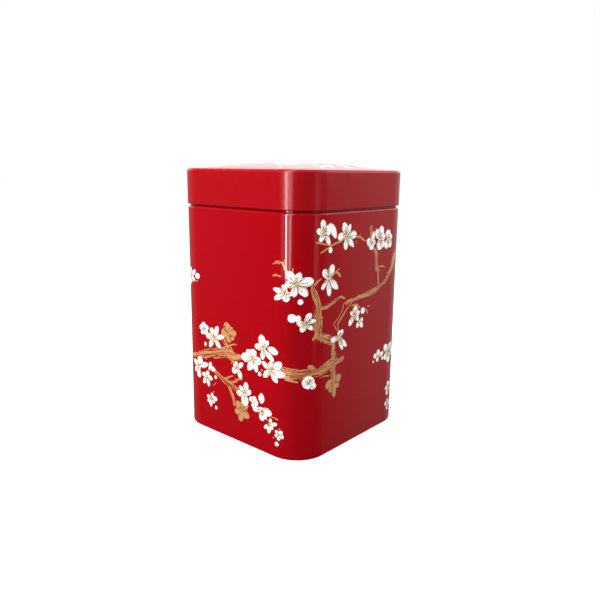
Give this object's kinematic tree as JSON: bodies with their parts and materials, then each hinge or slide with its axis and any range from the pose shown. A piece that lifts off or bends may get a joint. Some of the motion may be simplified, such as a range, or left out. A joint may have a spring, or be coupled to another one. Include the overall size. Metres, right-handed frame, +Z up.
{
  "type": "lithographed tea tin",
  "caption": "Square tinplate tea tin with rounded corners, a domed slip lid, a press-in inner lid with a knob, and a blossom print.",
  "frame": {"origin": "on the surface that the tin stands on, under the middle of the tin", "axes": "+Z up; the front face looks along -Y and the right-hand face along +X"},
  "size_m": [0.0784, 0.0784, 0.1241],
  "materials": {
    "red_gloss_print": "gloss",
    "red_satin_print": "satin",
    "white_ink": "gloss",
    "gold_ink": "satin",
    "bare_tinplate": "satin",
    "turned_knob_metal": "satin"
  },
  "bodies": {
    "tin": {"body_wall": "red_gloss_print", "bottom_plate": "bare_tinplate"},
    "outer_lid": {"slip_lid": "red_satin_print"},
    "plug_lid": {"inner_lid": "bare_tinplate", "inner_lid_knob": "turned_knob_metal", "knob_rivet": "bare_tinplate"}
  },
  "joints": [
    {"name": "outer_lid_lift", "type": "slide", "parent": "tin", "child": "outer_lid", "axis": [0, 0, 1], "range_m": [0, 0.075]},
    {"name": "plug_lid_lift", "type": "slide", "parent": "tin", "child": "plug_lid", "axis": [0, 0, 1], "range_m": [0, 0.03]}
  ],
  "couplings": [
    {"joint": "plug_lid_lift", "follows": "outer_lid_lift", "ratio": 0.4}
  ]
}
